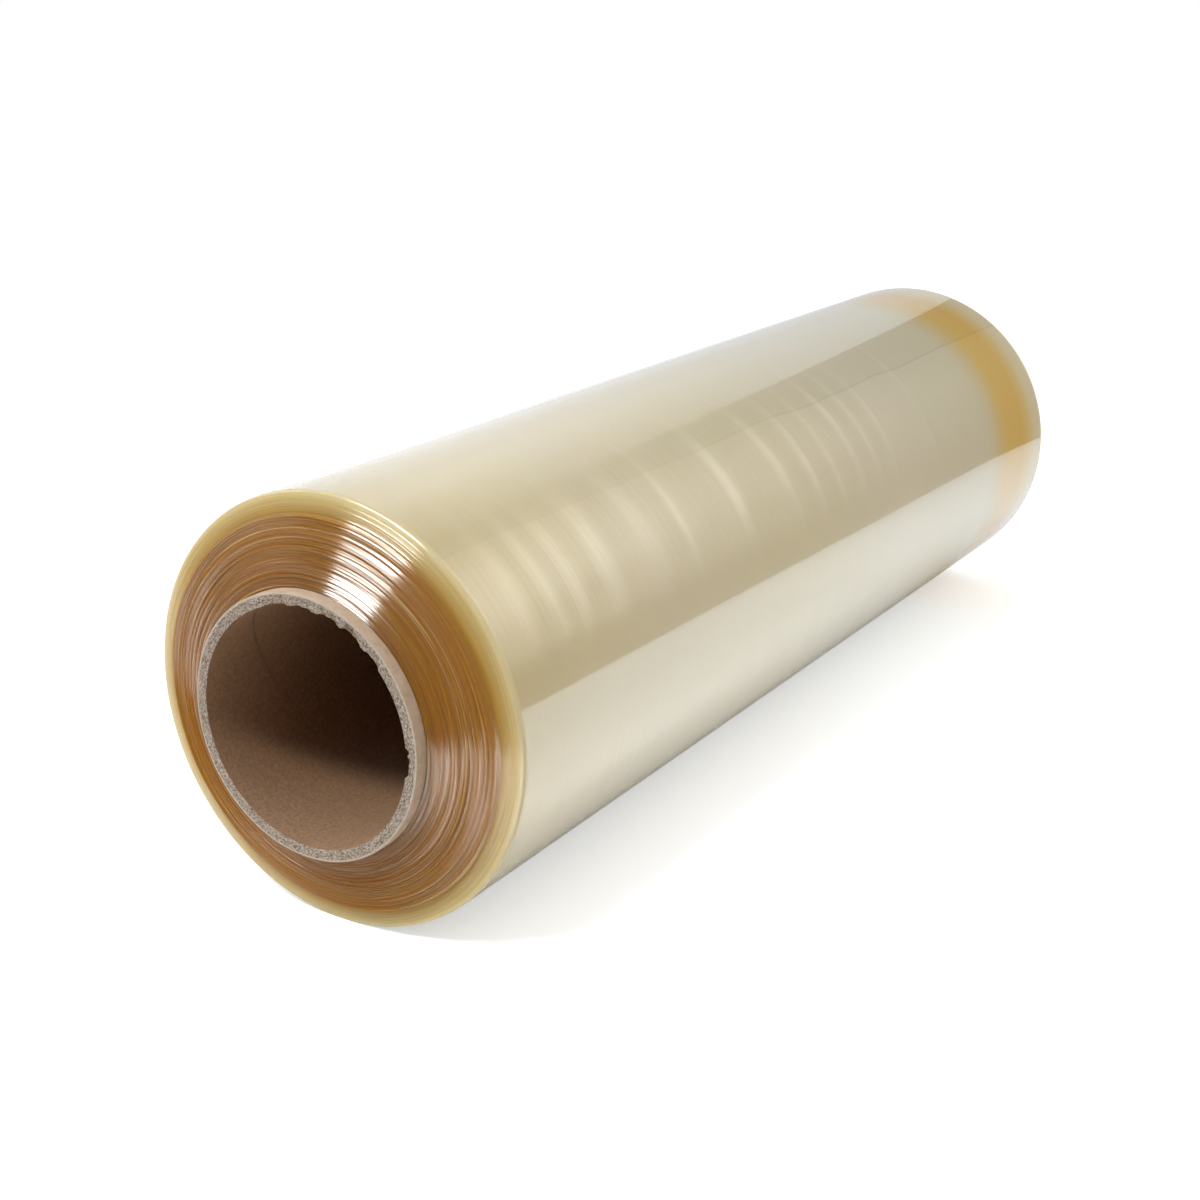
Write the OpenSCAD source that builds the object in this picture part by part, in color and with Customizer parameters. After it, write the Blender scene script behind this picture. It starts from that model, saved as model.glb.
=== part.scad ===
// A catering roll of cling film: clear stretch film wound on a spiral-wound cardboard core.
// The roll lies on its side, its axis along X. The origin is on the floor, under its middle.
// Both ends of the wound film rise as a shallow cone from the outermost turn to the core,
// and the edges of the turns show there as fine rings. All sizes are in millimetres.

/* [Core tube] */
// Diameter of the bore, the standard 3 inch core
core_bore_d = 76.2; // [70:0.1:80]
// Thickness of the cardboard wall
core_wall = 4; // [2.5:0.1:6]
// How far the tube stands out past the film's innermost turn, at each end
core_stand_out = 4.8; // [3:0.1:15]
// Rounding of the tube's outer cut edges
core_edge_r = 0.5; // [0.2:0.1:0.8]

/* [Torn paper at the near end of the core] */
// How deep the torn places bite into the wall
tear_bite = 1.1; // [0.5:0.1:1.8]
// How far the torn places reach into the tube
tear_reach = 1.6; // [0.6:0.1:3]
// Curve of a torn place, as the radius of the bite
tear_r = 5; // [3.5:0.5:9]

/* [Wound film] */
// Diameter over the outermost turn
film_d = 138.2; // [120:0.2:200]
// Width of the outermost turn, from rim to rim
film_rim_w = 443; // [280:1:500]
// How far the coned end rises from the outermost turn to the core, at each end
cone_rise = 8.6; // [0:0.2:12]
// Rounding of the outermost turn's rim
rim_r = 0.9; // [0.4:0.1:2]
// Play between the tube and the innermost turn
wind_gap = 0.1; // [0.05:0.05:0.3]
// Width of the flat that the roll's own weight presses where it lies
flat_w = 14; // [12.5:0.5:20]

/* [Turns on the end faces] */
// Number of bands in which the turns' edges stand proud of one another
turn_bands = 15; // [8:1:20]
// Height of the proudest band
band_step = 0.5; // [0.1:0.05:0.8]
// Width of the ring of last-wound turns at the rim
rim_ring_w = 6.8; // [3:0.2:10]
// How far the ring of last-wound turns sits back from the rest
rim_ring_step = 0.4; // [0.1:0.05:0.8]

/* [Hidden] */

CARDBOARD = [0.70, 0.62, 0.53];
CLEAR_FILM = [0.79, 0.72, 0.49];

core_bore_r = core_bore_d / 2;
core_r = core_bore_r + core_wall;
film_r = film_d / 2;
film_bore_r = core_r + wind_gap;

// The coned ends: their slope, and how far from the roll's middle they lie at a radius,
// on the ring at the rim and on the bands inside it
cone_slope = cone_rise / (film_r - film_bore_r);
cone_angle = atan(cone_slope);
function ring_x(r) = film_rim_w / 2 + cone_slope * (film_r - r);
function band_x(r) = ring_x(r) + rim_ring_step;

core_len = 2 * (band_x(film_bore_r) + core_stand_out);

// Where the axis lies above the floor, once the flat is pressed
axis_z = sqrt(pow(film_r, 2) - pow(flat_w / 2, 2));

// The bands share the face between the core and the ring at the rim
ring_bore_r = film_r - rim_ring_w;
band_pitch = (ring_bore_r - film_bore_r) / turn_bands;
// Where a band's crest lies across it, as a share of the pitch
crest_at = 0.5;
// The golden angle spreads the bands' heights with no pattern that the eye can follow
golden = 137.508;
function band_height(i, phase) = band_step * (0.3 + 0.7 * abs(sin(i * golden + phase)));

// Different phases, so that the two ends aren't copies of each other
near_phase = 20;
far_phase = 75;

// The torn places: the angle of each from the top towards the front, and its share of the full bite
torn_at = [[-12, 0.7], [3, 0.5], [18, 0.8], [31, 1], [45, 0.6], [93, 0.9]];

// Steps of the round rim
rim_steps = 3;
round_fn = 64;
cut = 1;

// One end of the film as points [radius, distance from the middle], from the core to the rim
function end_face(phase) = concat(
    [for (i = [0 : turn_bands - 1])
        let (r = film_bore_r + i * band_pitch, r_crest = r + crest_at * band_pitch)
            each [[r, band_x(r)], [r_crest, band_x(r_crest) + band_height(i, phase)]]],
    [[ring_bore_r, band_x(ring_bore_r)], [ring_bore_r, ring_x(ring_bore_r)]],
    [for (k = [0 : rim_steps])
        let (a = cone_angle + (90 - cone_angle) * k / rim_steps)
            [film_r - rim_r + rim_r * sin(a), rim_centre_x + rim_r * cos(a)]]
);
rim_centre_x = ring_x(film_r - rim_r) - rim_r / cos(cone_angle);

function reversed(points) = [for (i = [len(points) - 1 : -1 : 0]) points[i]];
function mirrored(points) = [for (p = points) [p[0], -p[1]]];

// Lays a body that was turned about Z along X, at the height of the roll's axis
module lay_down() {
    translate([0, 0, axis_z])
        rotate([0, 90, 0])
            children();
}

// The section of the core's wall, square at the bore and rounded at its outer edges
module core_section() {
    translate([core_bore_r, -core_len / 2])
        square([core_wall - core_edge_r, core_len]);
    translate([core_bore_r, -core_len / 2 + core_edge_r])
        square([core_wall, core_len - 2 * core_edge_r]);
    for (side = [-1, 1])
        translate([core_r - core_edge_r, side * (core_len / 2 - core_edge_r)])
            circle(r = core_edge_r, $fn = 16);
}

// Shallow round bites in the bore's edge at the near end, where the paper has torn
module torn_places() {
    for (place = torn_at)
        translate([0, 0, axis_z])
            rotate([place[0], 0, 0])
                translate([-core_len / 2 - cut, 0, core_bore_r + place[1] * tear_bite - tear_r])
                    rotate([0, 90, 0])
                        cylinder(r = tear_r, h = tear_reach + cut, $fn = round_fn);
}

module core() {
    color(CARDBOARD)
        difference() {
            lay_down()
                rotate_extrude($fn = round_fn)
                    core_section();
            torn_places();
        }
}

// All the turns as one solid, with the ends' rings and the flat underneath
module film_roll() {
    color(CLEAR_FILM)
        difference() {
            lay_down()
                rotate_extrude($fn = round_fn)
                    polygon(concat(mirrored(end_face(near_phase)), reversed(end_face(far_phase))));
            translate([-core_len / 2, -film_r, -film_r])
                cube([core_len, film_d, film_r]);
        }
}

core();
film_roll();
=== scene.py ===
# %% [markdown]
# # A roll of cling film
# Some hundreds of metres of clear stretch film, wound on a cardboard tube. The imported model gives the two
# pieces at their real size: the core and the wound film. It is loaded first, and everything below is made
# around it, in metres.

# %% Load the frame
import math
import random
import bpy
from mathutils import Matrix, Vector, noise


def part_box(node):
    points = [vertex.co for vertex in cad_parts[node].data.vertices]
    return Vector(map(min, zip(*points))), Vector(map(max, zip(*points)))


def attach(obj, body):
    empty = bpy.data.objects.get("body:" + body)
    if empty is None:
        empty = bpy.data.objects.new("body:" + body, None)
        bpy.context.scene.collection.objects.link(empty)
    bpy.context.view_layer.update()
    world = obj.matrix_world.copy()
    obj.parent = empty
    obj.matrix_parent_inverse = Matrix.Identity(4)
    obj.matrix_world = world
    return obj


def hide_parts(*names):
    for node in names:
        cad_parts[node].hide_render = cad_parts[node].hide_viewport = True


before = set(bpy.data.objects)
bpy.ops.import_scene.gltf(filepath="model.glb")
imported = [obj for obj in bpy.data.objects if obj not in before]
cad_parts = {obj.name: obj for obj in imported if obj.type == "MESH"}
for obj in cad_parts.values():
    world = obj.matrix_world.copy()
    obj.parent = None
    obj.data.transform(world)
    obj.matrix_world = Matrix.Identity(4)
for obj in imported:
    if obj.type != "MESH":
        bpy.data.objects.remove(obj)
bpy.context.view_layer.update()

# %% [markdown]
# ## Sizes
# The outer sizes are read from the frame, so that the dressed pieces can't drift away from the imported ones.
# What the frame's boxes can't tell, such as the wall of the tube or the slope of the coned ends, is named
# here in millimetres, as it is on the real roll.

# %% The roll's sizes
MM = 0.001
film_low, film_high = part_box("film_roll")
core_low, core_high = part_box("core")

core_r = (core_high.y - core_low.y) / 2
core_half_len = core_high.x
core_wall = 4.0 * MM
core_bore_r = core_r - core_wall
axis_z = (core_high.z + core_low.z) / 2

film_r = film_high.z - axis_z
wind_gap = 0.1 * MM
film_bore_r = core_r + wind_gap
rim_half_w = 221.5 * MM
rim_r = 0.9 * MM
rim_ring_w = 6.8 * MM
rim_ring_step = 0.4 * MM
ring_bore_r = film_r - rim_ring_w
cone_rise = 8.6 * MM
cone_slope = cone_rise / (film_r - film_bore_r)
cone_angle = math.atan(cone_slope)
print("in mm: film radius", round(film_r / MM, 2), "core radius", round(core_r / MM, 2),
      "axis height", round(axis_z / MM, 2))

# %% [markdown]
# ## Helpers for materials
# `linear` turns a colour as a painter would pick it, an sRGB hex value, into the linear numbers that the
# shaders work with. `level` is a plain grey, for a colour ramp that is used as a curve of numbers. `add` puts
# one node into a material, sets it up, and plugs in whatever it is given. `new_material` starts a material
# for something solid, and `glowing` one for something that only shines, such as the cloth of a softbox.

# %% Helpers
def linear(hex_colour):
    """An sRGB hex colour such as #c8a05f as the linear values of a shader's colour socket."""
    parts = [int(hex_colour[i:i + 2], 16) / 255 for i in (1, 3, 5)]
    return tuple(c / 12.92 if c <= 0.04045 else ((c + 0.055) / 1.055) ** 2.4 for c in parts) + (1.0,)


def level(value):
    """A number as a grey, for the stops of a colour ramp."""
    return (value, value, value, 1.0)


def add(tree, kind, inputs=None, stops=(), **settings):
    """Adds a node, sets it up, and plugs in what inputs names: a value, a socket, or a node's first output."""
    made = tree.nodes.new("ShaderNode" + kind)
    for name, value in settings.items():
        setattr(made, name, value)
    for name, value in (inputs or {}).items():
        if isinstance(value, bpy.types.Node):
            value = value.outputs[0]
        if isinstance(value, bpy.types.NodeSocket):
            tree.links.new(value, made.inputs[name])
        else:
            made.inputs[name].default_value = value
    if stops:
        ramp = made.color_ramp.elements
        while len(ramp) < len(stops):
            ramp.new(1.0)
        for element, (place, colour) in zip(ramp, stops):
            element.position = place
            element.color = colour
    return made


def new_material(name):
    """A material with a Principled BSDF: the material, its node tree, and the BSDF's inputs."""
    material = bpy.data.materials.new(name)
    material.use_nodes = True
    tree = material.node_tree
    tree.nodes.clear()
    surface = add(tree, "BsdfPrincipled")
    add(tree, "OutputMaterial", {"Surface": surface})
    return material, tree, surface.inputs


def empty_tree(owner):
    """The node tree of a material or a world, with nothing in it yet."""
    owner.use_nodes = True
    owner.node_tree.nodes.clear()
    return owner.node_tree


def glowing(name, colour, strength=1.0):
    """A material that only shines, with an sRGB hex colour. A strength of 1 shows it as it is written."""
    material = bpy.data.materials.new(name)
    tree = empty_tree(material)
    shine = add(tree, "Emission", {"Color": linear(colour), "Strength": strength})
    add(tree, "OutputMaterial", {"Surface": shine})
    return material


# %% [markdown]
# ### Finding one's way on the roll
# Everything on a roll follows the turns, so the materials don't think in X, Y and Z. They ask how far along
# the roll a point lies, how far from the axis, and at which angle from the top towards the front.

# %% Places on the roll
def round_the_roll(tree):
    """Where a point lies: along the axis, its radius, its angle, and the unit vector from the axis to it."""
    place = add(tree, "TexCoord").outputs["Object"]
    from_axis = add(tree, "VectorMath", {0: place, 1: (0, 0, -axis_z)}, operation="ADD")
    across = add(tree, "VectorMath", {0: from_axis, 1: (0, 1, 1)}, operation="MULTIPLY")
    radius = add(tree, "VectorMath", {0: across}, operation="LENGTH").outputs["Value"]
    outward = add(tree, "VectorMath", {0: across}, operation="NORMALIZE").outputs[0]
    xyz = add(tree, "SeparateXYZ", {0: from_axis})
    to_front = add(tree, "Math", {0: xyz.outputs["Y"], 1: -1.0}, operation="MULTIPLY")
    angle = add(tree, "Math", {0: to_front, 1: xyz.outputs["Z"]}, operation="ARCTAN2").outputs[0]
    return xyz.outputs["X"], radius, angle, outward


def along_turns(tree, radius, outward, spacing, sweep):
    """Where to read a noise whose streaks follow the turns, one per spacing. sweep is how much each changes."""
    ring = add(tree, "Math", {0: radius, 1: 1 / spacing}, operation="MULTIPLY")
    swept = add(tree, "VectorMath", {0: outward, "Scale": sweep}, operation="SCALE")
    return add(tree, "VectorMath", {0: add(tree, "CombineXYZ", {"X": ring}), 1: swept}, operation="ADD")


# %% [markdown]
# ## The camera
# The place and the direction of the camera come from fitting the roll's outlines in the photograph: it looks
# down at the near end from the front left, from about three quarters of a metre, through a short telephoto.

# %% Camera
camera_at = Vector((-609.7, -333.7, 275.1)) * MM
camera_turn = math.radians(31.66)
camera_pitch = math.radians(-18.59)

camera_data = bpy.data.cameras.new("camera")
camera_data.sensor_width = 36.0
camera_data.lens = 54.41
camera = bpy.data.objects.new("camera", camera_data)
look = Vector((math.cos(camera_pitch) * math.cos(camera_turn),
               math.cos(camera_pitch) * math.sin(camera_turn),
               math.sin(camera_pitch)))
camera.location = camera_at
camera.rotation_euler = look.to_track_quat("-Z", "Y").to_euler()
bpy.context.collection.objects.link(camera)
bpy.context.scene.camera = camera
bpy.context.scene.view_settings.view_transform = "Standard"
print("camera", [round(c, 4) for c in camera.location], "lens", camera_data.lens)

# %% [markdown]
# ## The studio
# A white table in a white room, with one side of the room kept dark. Glossy film is mostly a mirror, so what
# stands around the roll matters as much as the lamps do. The wide calm stripe along its side is the dark
# side of the room, the pale bands above and below it are the backdrop and the table, and the bright fan on
# its near end is a softbox overhead. The panels that stand for the room are seen by reflections only, so
# that they keep no light from the roll and don't get in the camera's way.

# %% Panels
def flat_panel(name, corners, material):
    """A flat panel through the given corners, in metres, with its material."""
    mesh = bpy.data.meshes.new(name)
    mesh.from_pydata([Vector(c) for c in corners], [], [range(len(corners))])
    mesh.materials.append(material)
    panel = bpy.data.objects.new(name, mesh)
    bpy.context.collection.objects.link(panel)
    return panel


def for_reflections(panel):
    """Hides a panel from everything but reflections."""
    panel.visible_camera = False
    panel.visible_diffuse = False
    panel.visible_shadow = False
    panel.visible_transmission = False
    panel.visible_volume_scatter = False


# %% [markdown]
# ### The table
# White laminate, softly lit. It could be a plain white plane, but a photographer's table fades into the page,
# and the glossy roll shows how. So the table glows a little. To the camera that lifts it to white and still
# leaves the roll's soft shadow. Its glow in reflections alone is painted shade and light. It grows with the
# distance from the roll, as a painted stand-in for the roll's shade close by, and it is painted fainter
# towards the back. Before the near end, where the stacked edges mirror the roll's foot, a painted shade makes
# the table dimmer and warmer in reflections.

# %% Table, what its glow depends on
camera_glow = 0.475
mirror_glow = 0.46
shade_from = 20 * MM
shade_to = 110 * MM
back_from = 150 * MM
back_to = 550 * MM
back_glow = 0.1

table_white = bpy.data.materials.new("white laminate table")
tree = empty_tree(table_white)
path = add(tree, "LightPath")
place = add(tree, "TexCoord").outputs["Object"]
along = add(tree, "SeparateXYZ", {0: place}).outputs["X"]
past_roll = add(tree, "VectorMath", {0: place}, operation="ABSOLUTE")
past_roll = add(tree, "VectorMath", {0: past_roll, 1: (core_half_len, 0, 0)}, operation="SUBTRACT")
past_roll = add(tree, "VectorMath", {0: past_roll, 1: (0, 0, 0)}, operation="MAXIMUM")
away = add(tree, "VectorMath", {0: past_roll}, operation="LENGTH").outputs["Value"]
# Painted shade: in reflections the glow is low by the roll and grows away from it
glow_past_painted_shade = add(tree, "MapRange", {"Value": away, "From Min": shade_from, "From Max": shade_to,
                                 "To Max": mirror_glow}, interpolation_type="SMOOTHSTEP")
# Painted falloff of light: in reflections the glow fades towards the back
painted_falloff_behind = add(tree, "MapRange", {"Value": along, "From Min": back_from, "From Max": back_to,
                                "To Min": 1.0, "To Max": back_glow}, interpolation_type="SMOOTHSTEP")
glow_past_painted_shade = add(tree, "Math", {0: glow_past_painted_shade, 1: painted_falloff_behind}, operation="MULTIPLY")
lift = add(tree, "Math", {0: path.outputs["Is Camera Ray"], 1: camera_glow}, operation="MULTIPLY")
lift = add(tree, "Math", {0: path.outputs["Is Glossy Ray"], 1: glow_past_painted_shade, 2: lift}, operation="MULTIPLY_ADD")

# %% Table, colours and panel
foot_from = -310 * MM
foot_to = -210 * MM
# Painted shade at the roll's foot: for reflections alone the table there is darker and warmer
across_foot = add(tree, "MapRange", {"Value": along, "From Min": foot_from, "From Max": foot_to})
tint_with_painted_warm_foot = add(tree, "ValToRGB", {"Fac": across_foot}, stops=[
    (0.5, linear("#ffeede")), (0.95, linear("#ecf6ff"))])
tint = add(tree, "Mix", {"Factor": path.outputs["Is Camera Ray"], 6: tint_with_painted_warm_foot, 7: linear("#f6fafe")},
           data_type="RGBA")
painted_foot_shade = add(tree, "ValToRGB", {"Fac": across_foot}, stops=[
    (0.1, (1.0, 0.92, 0.82, 1)), (0.55, (0.36, 0.31, 0.25, 1)), (0.82, (0.28, 0.25, 0.2, 1)),
    (0.9, level(1.0))])
foot_shade_for_mirror = add(tree, "Mix", {"Factor": path.outputs["Is Glossy Ray"], 6: level(1.0), 7: painted_foot_shade}, data_type="RGBA")
white = add(tree, "VectorMath", {0: foot_shade_for_mirror.outputs[2], 1: linear("#f2f2f2")[:3]}, operation="MULTIPLY")
matt = add(tree, "BsdfDiffuse", {"Color": white})
glow = add(tree, "Emission", {"Color": tint.outputs[2], "Strength": lift})
add(tree, "OutputMaterial", {"Surface": add(tree, "AddShader", {0: matt, 1: glow})})

table_front = -0.395
table_right = -1.6
table_back = 1.8
table_left = 1.8
flat_panel("table", [(table_front, table_right, 0), (table_back, table_right, 0),
                     (table_back, table_left, 0), (table_front, table_left, 0)], table_white)
print("table glow for the camera", camera_glow, "and in reflections up to", mirror_glow)

# %% [markdown]
# ### The light of the room
# White walls light everything from all sides, and a world of one colour does that without any lamps. The
# side that the near end looks at, front right, is dark, and that is what leaves the bore dark inside. The
# camera and the mirror of the film see the room plain white, whatever light it gives.

# %% Room light
room_light = 1.12
dark_towards = (-0.85, -0.5, 0.15)
dark_from = 0.36
dark_to = 0.9

world = bpy.data.worlds.new("white room")
bpy.context.scene.world = world
tree = empty_tree(world)
path = add(tree, "LightPath")
seen = add(tree, "Math", {0: path.outputs["Is Camera Ray"], 1: path.outputs["Is Glossy Ray"]},
           operation="MAXIMUM")
seen = add(tree, "Math", {0: seen, 1: path.outputs["Is Transmission Ray"]}, operation="MAXIMUM")
direction = add(tree, "TexCoord").outputs["Generated"]
towards = add(tree, "VectorMath", {0: direction, 1: dark_towards}, operation="DOT_PRODUCT").outputs["Value"]
lit = add(tree, "MapRange", {"Value": towards, "From Min": dark_from, "From Max": dark_to,
                             "To Min": room_light, "To Max": 0.0})
strength = add(tree, "MapRange", {"Value": seen, "To Min": lit, "To Max": 1.0})
shine = add(tree, "Background", {"Color": linear("#ffffff"), "Strength": strength})
add(tree, "OutputWorld", {"Surface": shine})
print("room light", room_light)

# %% [markdown]
# ### The backdrop and the dark side
# A pale backdrop stands behind the roll, and to its right the room is dark. The edge between the two leans a
# little and grows softer higher up. The side of the roll draws that edge out into the long line where its
# calm stripe begins. One upright screen carries both, with its shades worked out from height and place.

# %% Backdrop
screen_x = 0.57
screen_edge = 0.075
screen_lean = 0.07
fade_from = 0.4
fade_to = 0.75
faded = 0.2
edge_soft_low = 0.08
edge_soft_high = 0.5
room_brown = "#7c5a2c"
room_grey = "#988c7a"

screen_pale = bpy.data.materials.new("backdrop and dark side")
tree = empty_tree(screen_pale)
xyz = add(tree, "SeparateXYZ", {0: add(tree, "TexCoord").outputs["Object"]})
aside = xyz.outputs["Y"]
high = xyz.outputs["Z"]
edge = add(tree, "Math", {0: high, 1: -screen_lean, 2: screen_edge}, operation="MULTIPLY_ADD")
past_edge = add(tree, "Math", {0: aside, 1: edge}, operation="SUBTRACT")
dimmed = add(tree, "MapRange", {"Value": high, "From Min": fade_from, "From Max": fade_to,
                                "To Min": 1.0, "To Max": faded})
soft = add(tree, "MapRange", {"Value": high, "From Min": fade_from, "From Max": fade_to,
                              "To Min": edge_soft_low, "To Max": edge_soft_high})
pale = add(tree, "MapRange", {"Value": past_edge, "From Max": soft, "To Min": dimmed, "To Max": 1.0},
           interpolation_type="SMOOTHSTEP")
by_height = add(tree, "MapRange", {"Value": high, "From Max": 0.6, "To Min": 1.1, "To Max": 0.7})
by_side = add(tree, "MapRange", {"Value": aside, "From Max": 0.6, "To Min": 0.54, "To Max": 1.14})
for share in (by_height, by_side):
    pale = add(tree, "Math", {0: pale, 1: share}, operation="MULTIPLY")
backdrop = add(tree, "VectorMath", {0: linear("#fafcff")[:3], "Scale": pale}, operation="SCALE")

dark_low = add(tree, "MapRange", {"Value": high, "From Max": 0.5, "To Min": 1.15, "To Max": 0.1})
dark = add(tree, "VectorMath", {0: linear(room_brown)[:3], "Scale": dark_low}, operation="SCALE")
in_dark = add(tree, "Math", {0: past_edge, 1: 0.0}, operation="LESS_THAN")
shown = add(tree, "Mix", {"Factor": in_dark, 4: backdrop, 5: dark}, data_type="VECTOR")
add(tree, "OutputMaterial", {"Surface": add(tree, "Emission", {"Color": shown.outputs[1]})})

# %% Walls, ceiling and floor of the dark side
ceiling = 2.4
right = -2.6
left = 2.6
front = -2.2
low = 0.001
screen_left = 1.5
front_split = -0.3
room_dark = glowing("dark side of the studio", room_brown)
room_dim = glowing("dim front of the studio", room_grey)

room_panels = [
    ("screen", screen_pale, [(screen_x, screen_left, low), (screen_x, screen_left, ceiling),
                             (screen_x, right, ceiling), (screen_x, right, low)]),
    ("right wall", room_dark, [(screen_x, right, low), (front, right, low), (front, right, ceiling),
                               (screen_x, right, ceiling)]),
    ("front wall", room_dim, [(front, front_split, low), (front, left, low), (front, left, ceiling),
                              (front, front_split, ceiling)]),
    ("front wall, dark side", room_dark, [(front, right, low), (front, front_split, low),
                                          (front, front_split, ceiling), (front, right, ceiling)]),
    ("left wall", room_dim, [(front, left, low), (front, left, ceiling), (0.3, left, ceiling),
                             (0.3, left, low)]),
    ("ceiling", room_dark, [(front, right, ceiling), (screen_x, right, ceiling), (screen_x, left, ceiling),
                            (front, left, ceiling)]),
    ("floor in front of the table", room_dark, [(front, right, -low), (-0.4, right, -low), (-0.4, left, -low),
                                                (front, left, -low)]),
    ("floor right of the table", room_dark, [
        (0.28, -0.9, low), (0.31, -0.46, low), (0.46, -0.285, low), (0.565, -0.235, low),
        (screen_x, -0.18, low), (screen_x, right, low), (0.28, right, low)]),
]
for name, material, corners in room_panels:
    for_reflections(flat_panel(name, corners, material))
print("room panels", len(room_panels))

# %% [markdown]
# ### The softboxes
# A softbox does two things: it lights, and it is mirrored. Here each job has its own object, so that one can
# be set without upsetting the other. The mirrored faces are panels: a wide one overhead that makes the
# white fan on the near end, and a strip on the right, bent round the roll's axis, that makes the silky glow
# on the side. The light comes from one soft spot at the overhead one, which a grid keeps to the near end.

# %% Softboxes
def soft_strip(name, x, radii, angles, bright):
    """A strip softbox bent round the roll's axis in a plane across it. It fades towards both of its ends."""
    first, full, half, last = [math.radians(a) for a in angles]
    cloth = bpy.data.materials.new(name + " cloth")
    tree = empty_tree(cloth)
    angle = round_the_roll(tree)[2]
    rise = add(tree, "MapRange", {"Value": angle, "From Min": first, "From Max": full},
               interpolation_type="SMOOTHSTEP")
    fall = add(tree, "MapRange", {"Value": angle, "From Min": full, "From Max": half, "To Min": 1.0,
                                  "To Max": 0.4}, interpolation_type="SMOOTHSTEP")
    end = add(tree, "MapRange", {"Value": angle, "From Min": half, "From Max": last, "To Min": 1.0,
                                 "To Max": 0.0}, interpolation_type="SMOOTHSTEP")
    strength = rise
    for share in (fall, end, bright):
        strength = add(tree, "Math", {0: strength, 1: share}, operation="MULTIPLY")
    shine = add(tree, "Emission", {"Color": linear("#fff9ee"), "Strength": strength})
    add(tree, "OutputMaterial", {"Surface": shine})
    bend_steps = 12
    bend = [first + (last - first) * i / bend_steps for i in range(bend_steps + 1)]
    inner, outer = [[(x, -r * math.sin(a), axis_z + r * math.cos(a)) for a in bend] for r in radii]
    for_reflections(flat_panel(name, inner + outer[::-1], cloth))


def soft_spot(name, at, aim, size, power, cone):
    """What a softbox with a grid throws on matt surfaces, within its cone. Its face is a panel of its own."""
    data = bpy.data.lights.new(name, "SPOT")
    data.shadow_soft_size = size / 2
    data.energy = power
    data.spot_size = math.radians(cone)
    data.spot_blend = 0.9
    lamp = bpy.data.objects.new(name, data)
    lamp.location = at
    lamp.rotation_euler = (Vector(aim) - Vector(at)).to_track_quat("-Z", "Y").to_euler()
    lamp.visible_camera = False
    lamp.visible_glossy = False
    bpy.context.collection.objects.link(lamp)
    print(name, power, "W, cone", cone, "degrees")


overhead_cloth = glowing("overhead softbox cloth", "#fffdf8", 11.5)
for_reflections(flat_panel("overhead softbox", [
    (-0.97, 0.4, 0.69), (-0.17, 0.36, 1.09), (-0.37, -0.27, 1.17), (-1.19, 0.08, 0.64)], overhead_cloth))
soft_strip("right softbox", x=0.4, radii=(0.64, 0.9), angles=(4, 46, 70, 80), bright=13.8)
soft_spot("overhead light", at=(-0.85, 0.08, 0.93), aim=(-0.28, 0, 0.045), size=0.5, power=128.0, cone=15.0)

# %% [markdown]
# ## Turned bodies
# Both pieces are bodies of revolution, as anything wound on a mandrel is. A screw modifier could turn them
# too, but the edges of the turns and the torn paper aren't the same all the way round. So one function turns
# a profile of points, each a radius and a place along the axis, and asks a second function how far each
# point moves at each angle.

# %% Lathe
def lathe(name, profile, steps, uneven):
    """Turns a closed profile of (radius, x) round the roll's axis. uneven moves point i at each angle."""
    points = []
    for k in range(steps):
        angle = 2 * math.pi * k / steps
        for i, (radius, x) in enumerate(profile):
            radius, x = uneven(i, radius, x, angle)
            points.append((x, -radius * math.sin(angle), max(0.0, axis_z + radius * math.cos(angle))))
    count = len(profile)
    faces = []
    for k in range(steps):
        here = k * count
        there = (k + 1) % steps * count
        for i in range(count):
            j = (i + 1) % count
            faces.append((here + i, here + j, there + j, there + i))
    mesh = bpy.data.meshes.new(name)
    mesh.from_pydata(points, [], faces)
    mesh.polygons.foreach_set("use_smooth", [True] * len(faces))
    mesh.update()
    piece = bpy.data.objects.new(name, mesh)
    bpy.context.collection.objects.link(piece)
    print(name, "has", 2 * len(faces), "triangles")
    return piece


def dress(piece, count, zones, materials):
    """Gives each face the material of its stretch of the profile. zones lists where each stretch ends."""
    for material in materials:
        piece.data.materials.append(material)
    for index, face in enumerate(piece.data.polygons):
        place = index % count
        face.material_index = next(m for end, m in zones if place < end)


# %% [markdown]
# ## The wound film
# The side is a plain cylinder, pressed flat where the roll lies. The ends are shallow cones on which
# thousands of film edges stack up, and they don't lie quite even. The plain model has that as fifteen bands
# that stand proud of one another, and they are repeated here. On them come finer ridges, of half a
# millimetre and more. They are modelled as well, because a bump alone would not catch the light as separate
# rings do. Each ridge has one steep flank, as a few turns have that slipped outwards together.

# %% The bands of turns, as on the plain model
turn_bands = 15
band_step = 0.5 * MM
crest_at = 0.5
golden = 137.508
band_pitch = (ring_bore_r - film_bore_r) / turn_bands


def ring_x(r):
    """How far the cone lies from the roll's middle at a radius, on the ring of last turns."""
    return rim_half_w + cone_slope * (film_r - r)


def band_rise(r, phase):
    """How far the band of turns at a radius stands proud of the cone."""
    if r >= ring_bore_r:
        return 0.0
    place = (r - film_bore_r) / band_pitch
    band = math.floor(place)
    across = place - band
    crest = band_step * (0.3 + 0.7 * abs(math.sin(math.radians(band * golden + phase))))
    return rim_ring_step + crest * (across / crest_at if across < crest_at else (1 - across) / (1 - crest_at))


print("bands", turn_bands, "of", round(band_pitch / MM, 2), "mm")


# %% The ridges on an end face
ridge_w = 0.45 * MM
ring_calm = 0.4
first_turn_play = 0.01 * MM
rim_steps = 8
still = (0, 0.0)


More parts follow.
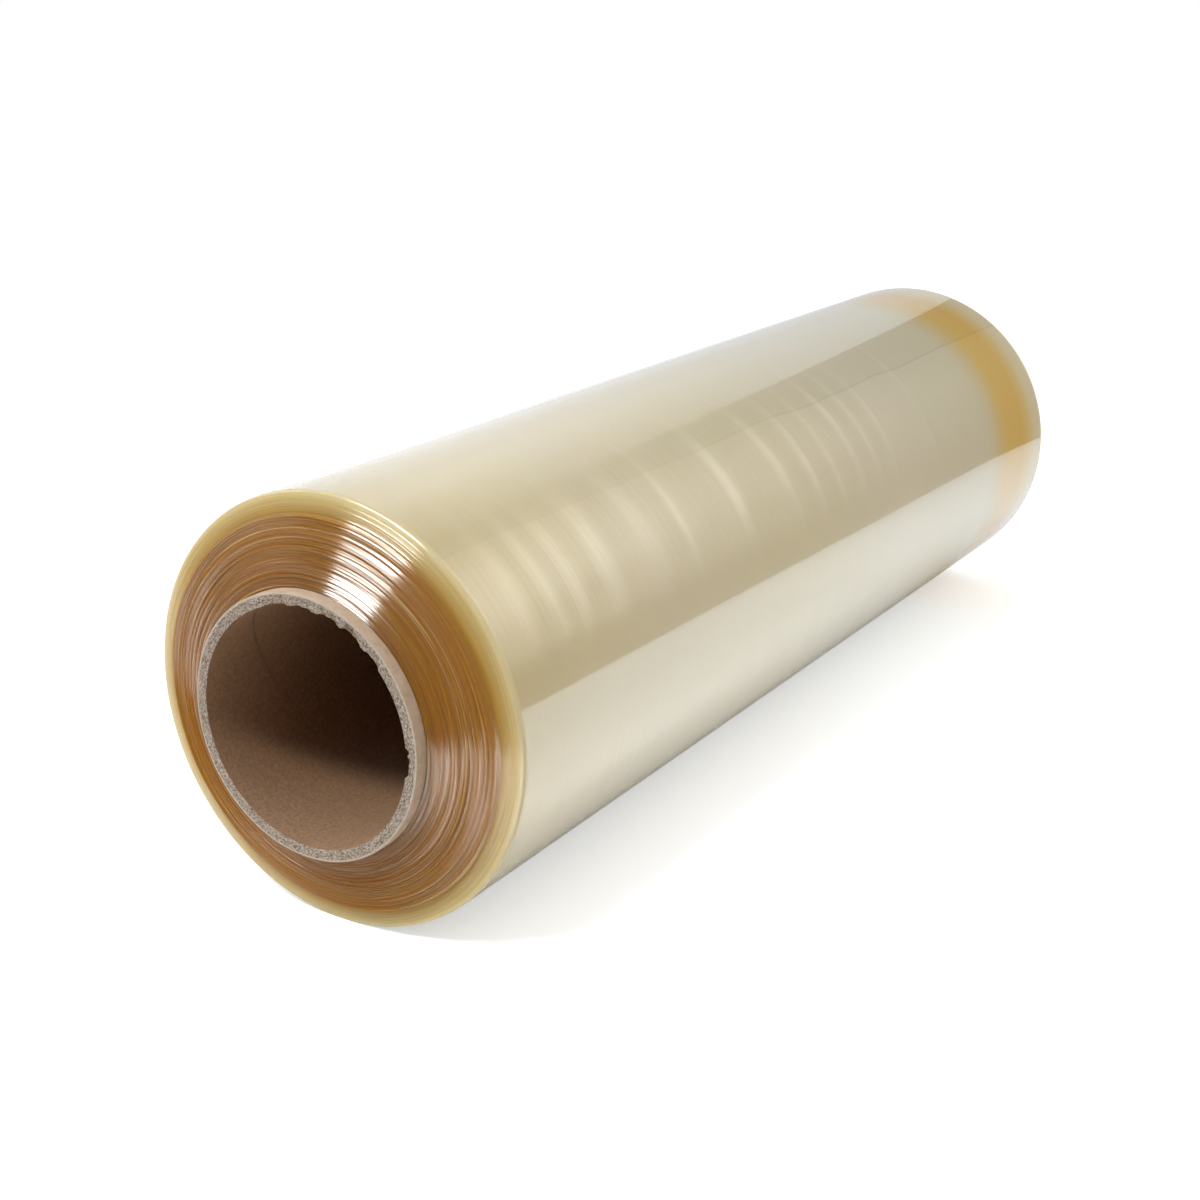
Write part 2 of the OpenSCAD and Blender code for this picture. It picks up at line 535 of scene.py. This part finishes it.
def end_profile(phase, seed, widest):
    """One end face from the core to the rim: (radius, distance from the middle, ridge height, its wave)."""
    chance = random.Random(seed)
    wave_chance = random.Random(seed + 8)
    points = []
    r = core_r + first_turn_play
    last = film_r - rim_r
    while r < last - 0.4 * MM:
        share = (r - film_bore_r) / (last - film_bore_r)
        width = chance.uniform(ridge_w / MM, widest) * MM
        on_ring = r > ring_bore_r
        if on_ring:
            width = ridge_w
        height = width * chance.uniform(0.44 - 0.4 * share, 0.54) * (ring_calm if on_ring else 1)
        wave = (wave_chance.choice((1, 1, 2, 3, 5)), wave_chance.uniform(0, 2 * math.pi))
        crest = 0.05 + 0.1 * share
        fall = 1 - crest
        for across, rise in ((0.0, 0.0), (crest, 1.0), (crest + 0.15 * fall, 0.85), (crest + 0.9 * fall, 0.1)):
            at = r + across * width
            points.append((at, ring_x(at) + band_rise(at, phase), rise * height, wave))
        r += width
    rim_x = ring_x(last) - rim_r / math.cos(cone_angle)
    for i in range(rim_steps + 1):
        a = cone_angle + (math.pi / 2 - cone_angle) * i / rim_steps
        points.append((last + rim_r * math.sin(a), rim_x + rim_r * math.cos(a), 0.0, still))
    return points


# %% The film's whole profile
near_phase = 20
far_phase = 75
near_face = [(r, -x, -h, wave) for r, x, h, wave in end_profile(near_phase, seed=3, widest=1.0)]
far_face = end_profile(far_phase, seed=8, widest=1.5)[::-1]
side_half_w = rim_half_w - 2 * MM
side_rings = [(film_r, share * side_half_w, 0.0, still) for share in (-1, -0.98, -0.5, 0, 0.5, 0.98, 1)]
film_profile = near_face + side_rings + far_face
print("film profile", len(film_profile), "points")

# %% [markdown]
# ### How a ridge changes round the roll
# A slipped turn doesn't stand out evenly all round: each ridge is higher over part of the turn and lower over
# the rest. Where hands have held the roll the edges are pressed flatter, at the lower left of the near end
# and a little left of its top.

# %% Film piece
film_steps = 216
pressed_places = [(200, 28, 0.92), (342, 17, 0.6)]


def uneven_ridge(i, radius, x, angle):
    """Moves a ridge's point out by its height at an angle. A pressed place is (angle, half-width, share)."""
    turns, start = film_profile[i][3]
    height = film_profile[i][2] * (1 + 0.7 * math.sin(turns * angle + start))
    for middle, half, share in pressed_places:
        height *= 1 - share * math.exp(-((math.degrees(angle) - middle) / half) ** 2)
    return radius, x + height


film = lathe("wound_film", [point[:2] for point in film_profile], film_steps, uneven_ridge)
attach(film, "root")
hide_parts("film_roll")

# %% [markdown]
# ## The finish of the ends: slit PVC film, edge on
# Cling film is cast from soft PVC, which has a faint yellow tint, and slit to its width with blades. Seen
# edge on, light has to cross thousands of layers, and the faint tint adds up to amber. Only the last turns
# stay pale, because light gets into them from the side as well. True transparency would need thousands of
# thin walls. A colour that changes with the radius, with scattering below the surface for the light that
# wanders between the layers, gives the same look from every side.
#
# The slit edges are polished and run round the roll like the grooves of a record. They keep a highlight
# narrow along the grooves and spread it across them, so a softbox shows as a fan. Anisotropic gloss does
# that: the tangent runs round the X axis, and a quarter turn lays the spread across the turns.

# %% Film ends, colour
end_material, tree, surface = new_material("slit PVC film, edge on")
along, radius, angle, outward = round_the_roll(tree)
share = add(tree, "MapRange", {"Value": radius, "From Min": film_bore_r, "From Max": film_r})
amber = add(tree, "ValToRGB", {"Fac": share}, stops=[
    (0.0, linear("#945e1e")), (0.3, linear("#9e6828")), (0.74, linear("#a87533")),
    (0.765, linear("#b68e3e")), (0.82, linear("#c4a155")), (0.94, linear("#d8c486")), (1.0, linear("#e2d8b0"))])

# A loose turn here and there shows as a pale hairline. Half a millimetre is about forty turns of film.
hairline_w = 0.5 * MM
loose = add(tree, "TexNoise", {"Vector": along_turns(tree, radius, outward, hairline_w, 1.0),
                               "Scale": 1.0, "Detail": 0.0})
loose = add(tree, "MapRange", {"Value": loose.outputs["Fac"], "From Min": 0.7, "From Max": 0.8, "To Max": 0.6})
hairlines = add(tree, "Mix", {"Factor": loose, 6: amber, 7: linear("#d3ab7c")}, data_type="RGBA")

# The film is 0.012 mm thick, which no render can show. The stack is drawn twenty times as coarse.
stack_w = 0.25 * MM
stack = add(tree, "TexNoise", {"Vector": along_turns(tree, radius, outward, stack_w, 1.2),
                               "Scale": 1.0, "Detail": 2.0, "Roughness": 0.6})
shade = add(tree, "MapRange", {"Value": stack.outputs["Fac"], "From Min": 0.3, "From Max": 0.7,
                               "To Min": 0.88, "To Max": 1.1})
stacked = add(tree, "VectorMath", {0: hairlines.outputs[2], "Scale": shade}, operation="SCALE")
tree.links.new(stacked.outputs[0], surface["Base Color"])
surface["Subsurface Weight"].default_value = 0.5
surface["Subsurface Radius"].default_value = (1.0, 0.6, 0.25)
surface["Subsurface Scale"].default_value = 5 * MM

# %% Film ends, gloss
# Bands of about a millimetre are more polished than others, most of all near the core. The IOR is above that
# of PVC, 1.54, because each edge reflects from several layers.
gloss_band_w = 1.1 * MM
polish = add(tree, "TexNoise", {"Vector": along_turns(tree, radius, outward, gloss_band_w, 1.2),
                                "Scale": 1.0, "Detail": 1.0, "Roughness": 0.5})
by_radius = add(tree, "ValToRGB", {"Fac": share}, stops=[
    (0.0, level(1.0)), (0.2, level(1.0)), (0.35, level(0.66)), (0.72, level(0.66)), (0.8, level(0.9)),
    (1.0, level(0.65))])
spread = add(tree, "ValToRGB", {"Fac": share}, stops=[
    (0.0, level(0.35)), (0.74, level(0.8)), (0.78, level(0.3)), (1.0, level(0.3))])
least = add(tree, "Math", {0: 1.0, 1: spread}, operation="SUBTRACT")
most = add(tree, "Math", {0: 1.0, 1: spread}, operation="ADD")
patchy = add(tree, "MapRange", {"Value": polish.outputs["Fac"], "From Min": 0.38, "From Max": 0.62,
                                "To Min": least, "To Max": most})
gloss = add(tree, "VectorMath", {0: by_radius, "Scale": patchy}, operation="SCALE")
bump = add(tree, "Bump", {"Strength": 0.5, "Distance": 0.06 * MM, "Height": stack.outputs["Fac"]})
tangent = add(tree, "Tangent", direction_type="RADIAL", axis="X")
tree.links.new(gloss.outputs[0], surface["Specular Tint"])
tree.links.new(bump.outputs[0], surface["Normal"])
tree.links.new(tangent.outputs[0], surface["Tangent"])
surface["Roughness"].default_value = 0.22
surface["Anisotropic"].default_value = 0.9
surface["Anisotropic Rotation"].default_value = 0.25
surface["IOR"].default_value = 2.4
print("film ends", len(tree.nodes), "nodes")

# %% [markdown]
# ## The finish of the side: clear film that clings, layer on layer
# The outermost turn is as smooth as the casting roller left it. Below it the layers cling together, with
# thin pockets of air, and look pearly rather than clear. So the colour is a pale, greenish cream with some
# scattering below it, under a sharp coat for the outer skin. Where the film was stretched unevenly the skin
# has silky streaks round the roll. They are soft steps in a bump, which tilt the gloss towards the softbox
# on the right, and they show only where it is mirrored.

# %% Film side, silky streaks
# Each streak: its place along the roll and its width in millimetres, and its rise in the bump
silky_streaks = [(-204, 7, 0.5), (-189, 5, 0.4), (-176, 6, 0.5), (-157, 10, 0.9), (-130, 10, 0.8),
                 (-108, 6, 0.5), (-70, 8, 0.9), (-34, 7, 0.9), (-14, 5, 0.6), (4, 4, 0.5), (22, 5, 0.8),
                 (38, 4, 0.4), (54, 4, 0.6), (94, 5, 0.8)]
streak_stops = [(0.0, 0.5)]
for middle, width, rise in silky_streaks:
    start = 0.5 + (middle - width / 2) * MM / (2 * rim_half_w)
    streak_stops += [(start, 0.5 - rise / 2), (start + width * MM / (2 * rim_half_w), 0.5 + rise / 2)]
streak_stops += [(1.0, 0.5)]

side_material, tree, surface = new_material("clinging PVC film, layer on layer")
along, radius, angle, outward = round_the_roll(tree)
place = add(tree, "TexCoord").outputs["Object"]
share = add(tree, "MapRange", {"Value": along, "From Min": -rim_half_w, "From Max": rim_half_w})
streaks = add(tree, "ValToRGB", {"Fac": share}, stops=[(at, level(height)) for at, height in streak_stops])
streaks.color_ramp.interpolation = "EASE"
taper = add(tree, "TexNoise", {"Vector": place, "Scale": 22.0, "Detail": 1.0})
taper = add(tree, "MapRange", {"Value": taper.outputs["Fac"], "From Min": 0.3, "From Max": 0.6,
                               "To Min": 0.2, "To Max": 1.0})
upper = add(tree, "MapRange", {"Value": angle, "From Min": math.radians(18), "From Max": math.radians(38)},
            interpolation_type="SMOOTHSTEP")
lower = add(tree, "MapRange", {"Value": angle, "From Min": math.radians(56), "From Max": math.radians(76),
                               "To Min": 1.0, "To Max": 0.1}, interpolation_type="SMOOTHSTEP")
streaks = add(tree, "Math", {0: streaks, 1: 0.5}, operation="SUBTRACT")
for part in (taper, upper, lower):
    streaks = add(tree, "Math", {0: streaks, 1: part}, operation="MULTIPLY")

# Between the streaks the skin has a fine grain round the roll, of about two millimetres
grain_w = 2.1 * MM
grain_at = add(tree, "VectorMath", {0: place, 1: (1 / grain_w, 11, 11)}, operation="MULTIPLY")
grain = add(tree, "TexNoise", {"Vector": grain_at, "Scale": 1.0, "Detail": 3.0, "Roughness": 0.6})
height = add(tree, "Math", {0: grain.outputs["Fac"], 1: 0.1, 2: streaks}, operation="MULTIPLY_ADD")
bump = add(tree, "Bump", {"Strength": 1.0, "Distance": 1.0 * MM, "Height": height})
tree.links.new(bump.outputs[0], surface["Normal"])

# %% [markdown]
# ### Colours along the side
# The cream grows paler away from the near end. Near the far end the amber of the far edges shines through
# the clear turns as a soft band, and past it the last few millimetres are pale again. The free edge of the
# outermost turn runs along the roll as a thin, slightly wavy line, with the film above it a shade darker.

# %% Film side, colour
cream = add(tree, "ValToRGB", {"Fac": share}, stops=[
    (0.0, linear("#cfbf95")), (0.08, linear("#d4c7a2")), (0.2, linear("#d8ccac")), (0.4, linear("#e0d5b3")),
    (0.64, linear("#e8dfc4")), (0.84, linear("#e7e0c3")), (0.87, linear("#e8d6a6")), (0.895, linear("#f0cd7c")),
    (0.94, linear("#f0ca78")), (0.96, linear("#f2d796")), (0.975, linear("#f4e4b8")), (1.0, linear("#f4ecd2"))])

free_edge_angle = math.radians(35.0)
free_edge_sway = math.radians(4.0)
free_edge_w = math.radians(0.7)
sway = add(tree, "TexNoise", {"W": add(tree, "Math", {0: along, 1: 14.0}, operation="MULTIPLY"),
                              "Scale": 1.0, "Detail": 1.0}, noise_dimensions="1D")
past_edge = add(tree, "Math", {0: sway.outputs["Fac"], 1: -free_edge_sway, 2: angle}, operation="MULTIPLY_ADD")
past_edge = add(tree, "Math", {0: past_edge, 1: free_edge_angle}, operation="SUBTRACT")
away = add(tree, "Math", {0: past_edge}, operation="ABSOLUTE")
depth = add(tree, "MapRange", {"Value": along, "From Min": -130 * MM, "From Max": 50 * MM,
                               "To Min": 1.0, "To Max": 0.9})
line = add(tree, "MapRange", {"Value": away, "From Max": free_edge_w, "To Min": depth, "To Max": 1.0},
           interpolation_type="SMOOTHSTEP")
above = add(tree, "MapRange", {"Value": past_edge, "From Min": math.radians(-12), "From Max": 0.0,
                               "To Min": 1.0, "To Max": 0.96})
below = add(tree, "Math", {0: past_edge, 1: 0.0}, operation="GREATER_THAN")
above = add(tree, "Math", {0: above, 1: below}, operation="MAXIMUM")
shade = add(tree, "Math", {0: line, 1: above}, operation="MULTIPLY")
toned = add(tree, "VectorMath", {0: cream, "Scale": shade}, operation="SCALE")
tree.links.new(toned.outputs[0], surface["Base Color"])
surface["Subsurface Weight"].default_value = 0.5
surface["Subsurface Radius"].default_value = (1.0, 0.8, 0.5)
surface["Subsurface Scale"].default_value = 5 * MM

# %% Film side, gloss
# Two glosses: a sharp coat for the cast skin, and below it one that the layers spread along the roll. Both
# fade out over the last two millimetres, where the skin bends into the rim. The IOR values are a little
# above PVC's 1.54, for the layers below the first.
out = add(tree, "Math", {0: along}, operation="ABSOLUTE")
inside_rim = add(tree, "MapRange", {"Value": out, "From Min": rim_half_w - 2.5 * MM,
                                    "From Max": rim_half_w - 0.6 * MM, "To Min": 1.0, "To Max": 0.0},
                 interpolation_type="SMOOTHSTEP")
dull_at_rim = add(tree, "CombineXYZ", {"X": inside_rim, "Y": inside_rim, "Z": inside_rim})
tangent = add(tree, "Tangent", direction_type="RADIAL", axis="X")
tree.links.new(inside_rim.outputs[0], surface["Coat Weight"])
tree.links.new(dull_at_rim.outputs[0], surface["Specular Tint"])
tree.links.new(tangent.outputs[0], surface["Tangent"])
surface["Roughness"].default_value = 0.25
surface["Anisotropic"].default_value = 1.0
surface["Anisotropic Rotation"].default_value = 0.25
surface["IOR"].default_value = 1.75
surface["Coat Roughness"].default_value = 0.03
surface["Coat IOR"].default_value = 1.65
print("film side", len(tree.nodes), "nodes")

# %% Dress the film
rim_on_side = rim_steps - 3
side_from = len(near_face) - rim_on_side
side_to = len(near_face) + len(side_rings) + rim_on_side - 1
END = 0
SIDE = 1
dress(film, len(film_profile), [(side_from, END), (side_to, SIDE), (len(film_profile), END)],
      [end_material, side_material])

# %% [markdown]
# ## The cardboard core
# A tube wound from strips of grey board and glued, with a kraft lining and a smooth outer ply. The saw left
# its ends fibrous, and at the near end the lining has torn away in places. The tears are modelled, because
# they notch the outline of the bore, and so is the roughness of the sawn board, because light rakes over it.

# %% Core profile
core_edge_r = 0.5 * MM
edge_steps = 3
ply_steps = 18
lining_depths = [0.3, 0.6, 0.9, 1.2, 1.6, 2.2, 3.5, 8.0]


def board_end():
    """The cut end of the wall from the bore to the rounded edge, as (radius, distance from the middle)."""
    flat = core_wall - core_edge_r
    points = [(core_bore_r + flat * i / ply_steps, core_half_len) for i in range(ply_steps + 1)]
    for i in range(1, edge_steps + 1):
        a = math.pi / 2 * i / edge_steps
        points.append((core_r - core_edge_r + core_edge_r * math.sin(a),
                       core_half_len - core_edge_r + core_edge_r * math.cos(a)))
    return points


near_lining = [(core_bore_r, -core_half_len + d * MM) for d in reversed(lining_depths)]
near_board = [(r, -x) for r, x in board_end()]
far_board = board_end()[::-1]
core_profile = near_lining + near_board + far_board
print("core profile", len(core_profile), "points")

# %% Torn paper
# Each tear: its angle from the top, as on the plain model, its half-width in degrees, its share of the bite
torn_at = [(-12, 7, 0.6), (3, 5, 0.5), (18, 6, 0.7), (31, 6, 0.85), (45, 5, 0.6), (93, 7, 0.8)]
tear_bite = 1.1 * MM
tear_reach = 1.6 * MM


def ragged(degrees, pitch, row):
    """A smooth random number for an angle, between about -1 and 1. The row picks another sequence."""
    return noise.noise(Vector((degrees * pitch, row, 0)))


def torn(angle):
    """How far the paper is torn away at an angle from the top, from nought to about one."""
    degrees = (math.degrees(angle) + 180) % 360 - 180
    share = max(depth * max(0.0, 1 - ((degrees - middle) / half) ** 2) ** 0.5
                for middle, half, depth in torn_at)
    rag = ragged(degrees, 0.45, 3.1) + 0.7 * ragged(degrees, 1.3, 5.3)
    flakes = abs(ragged(degrees, 0.5, 7.7)) + abs(ragged(degrees, 1.5, 9.2))
    return max(0.0, share * (1 + 0.8 * rag) + 0.09 * flakes)


def cut_and_torn(i, radius, x, angle):
    """Roughens the sawn ends and takes away the torn paper at the near end."""
    if i < len(near_lining):
        depth = x + core_half_len
        bite = torn(angle) * max(0.0, 1 - (depth / tear_reach) ** 2)
        return radius + tear_bite * bite, x
    around = angle * core_r / MM
    into_wall = (radius - core_bore_r) / core_wall
    fibres = noise.noise(Vector((radius / MM * 1.6, around * 0.5, x * 40)))
    fuzz = noise.noise(Vector((radius / MM * 5, around * 2.2, x * 40)))
    rough = (0.16 * fibres + 0.1 * fuzz) * MM * min(1.0, 6 * (1 - into_wall))
    if i < len(near_lining) + ply_steps + 1:
        bite = torn(angle) * (1 - into_wall)
        return radius + tear_bite * bite, x + abs(rough) + tear_reach * 0.5 * bite ** 2
    if i >= len(near_lining) + len(near_board) + edge_steps:
        return radius, x - abs(rough)
    return radius, x


# %% Core piece
core_steps = 640
core = lathe("cardboard_core", core_profile, core_steps, cut_and_torn)
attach(core, "root")
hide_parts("core")

# %% [markdown]
# ## The sawn end: grey board
# Grey board is pressed from waste paper. Sawn through, it shows torn fibres as a salt-and-pepper grain that
# follows the plies, with a paler line where the outer ply begins. Paper fibres are 0.02 mm thick, so the
# grain is drawn about twenty times as coarse. It is quite matt.

# %% Sawn board
ply_w = 0.45 * MM
fleck_sweep = 50.0
sawn_board, tree, surface = new_material("sawn grey board")
along, radius, angle, outward = round_the_roll(tree)
fibre = add(tree, "TexNoise", {"Vector": along_turns(tree, radius, outward, ply_w, fleck_sweep),
                               "Scale": 1.0, "Detail": 3.0, "Roughness": 0.65})
flecks = add(tree, "ValToRGB", {"Fac": fibre.outputs["Fac"]}, stops=[
    (0.36, linear("#5f4e40")), (0.45, linear("#948371")), (0.57, linear("#b5a797")), (0.7, linear("#d8cdbf"))])
outer_line = add(tree, "MapRange", {"Value": radius, "From Min": core_r - 1.0 * MM,
                                    "From Max": core_r - 0.5 * MM, "To Max": 0.7},
                 interpolation_type="SMOOTHSTEP")
edged = add(tree, "Mix", {"Factor": outer_line, 6: flecks, 7: linear("#d6cabb")}, data_type="RGBA")
bump = add(tree, "Bump", {"Strength": 1.0, "Distance": 0.3 * MM, "Height": fibre.outputs["Fac"]})
tree.links.new(edged.outputs[2], surface["Base Color"])
tree.links.new(bump.outputs[0], surface["Normal"])
surface["Roughness"].default_value = 0.9
print("sawn board", len(tree.nodes), "nodes")

# %% [markdown]
# ## The outer ply: smooth paper
# The outside of the tube is wrapped in one ply of smooth, light brown paper, rolled flat while it was damp.
# It has a faint cloudiness of about three millimetres and a little more sheen than bare board.

# %% Outer ply
cloud_w = 1000 * MM / 350
outer_ply, tree, surface = new_material("smooth outer ply")
place = add(tree, "TexCoord").outputs["Object"]
cloudy = add(tree, "TexNoise", {"Vector": place, "Scale": 1 / cloud_w, "Detail": 4.0, "Roughness": 0.6})
colour = add(tree, "ValToRGB", {"Fac": cloudy.outputs["Fac"]}, stops=[
    (0.3, linear("#b39a7f")), (0.7, linear("#c7af96"))])
tree.links.new(colour.outputs[0], surface["Base Color"])
surface["Roughness"].default_value = 0.7
print("outer ply", len(tree.nodes), "nodes")

# %% [markdown]
# ## The lining: kraft paper
# The bore is lined with a strip of unbleached kraft paper, wound as a helix. Its fibres give a fine brown
# mottle of about a millimetre, drawn coarser than real fibres. Where one edge of the strip meets the next
# there is a seam. It is a straight line if the tube is unrolled, so the angle and the place along the roll
# are added up, and every whole number is a seam. It is worn faint at the back of the bore.

# %% Kraft lining
mottle_w = 1000 * MM / 900
seam_pitch = 146 * MM
seam_start = 123 / 360
lining, tree, surface = new_material("kraft lining")
along, radius, angle, outward = round_the_roll(tree)
place = add(tree, "TexCoord").outputs["Object"]
mottle = add(tree, "TexNoise", {"Vector": place, "Scale": 1 / mottle_w, "Detail": 4.0, "Roughness": 0.7})
kraft = add(tree, "ValToRGB", {"Fac": mottle.outputs["Fac"]}, stops=[
    (0.25, linear("#866444")), (0.5, linear("#9d7a5b")), (0.75, linear("#ae8d6c"))])
turns = add(tree, "Math", {0: angle, 1: 1 / (2 * math.pi)}, operation="MULTIPLY")
seam = add(tree, "Math", {0: along, 1: 1 / seam_pitch, 2: turns}, operation="MULTIPLY_ADD")
seam = add(tree, "Math", {0: seam, 1: -seam_start}, operation="ADD")
seam = add(tree, "Math", {0: seam}, operation="FRACT")
line = add(tree, "ValToRGB", {"Fac": seam}, stops=[
    (0.0, level(0.3)), (0.003, level(1.0)), (0.99, level(1.0)), (0.997, level(0.75))])
plain = add(tree, "MapRange", {"Value": angle, "From Min": math.radians(-115), "From Max": math.radians(-45),
                               "To Min": 0.2, "To Max": 1.0}, interpolation_type="SMOOTHSTEP")
joined = add(tree, "Mix", {"Factor": plain, 6: kraft, 7: line}, data_type="RGBA", blend_type="MULTIPLY")
tree.links.new(joined.outputs[2], surface["Base Color"])
surface["Roughness"].default_value = 0.85
print("lining", len(tree.nodes), "nodes")

# %% Dress the core
board_from = len(near_lining)
board_to = board_from + ply_steps + 1
ply_to = board_to + 2 * edge_steps - 1
LINING = 0
CUT = 1
OUTER = 2
dress(core, len(core_profile), [(board_from, LINING), (board_to, CUT), (ply_to, OUTER),
                                (len(core_profile) - 1, CUT), (len(core_profile), LINING)],
      [lining, sawn_board, outer_ply])
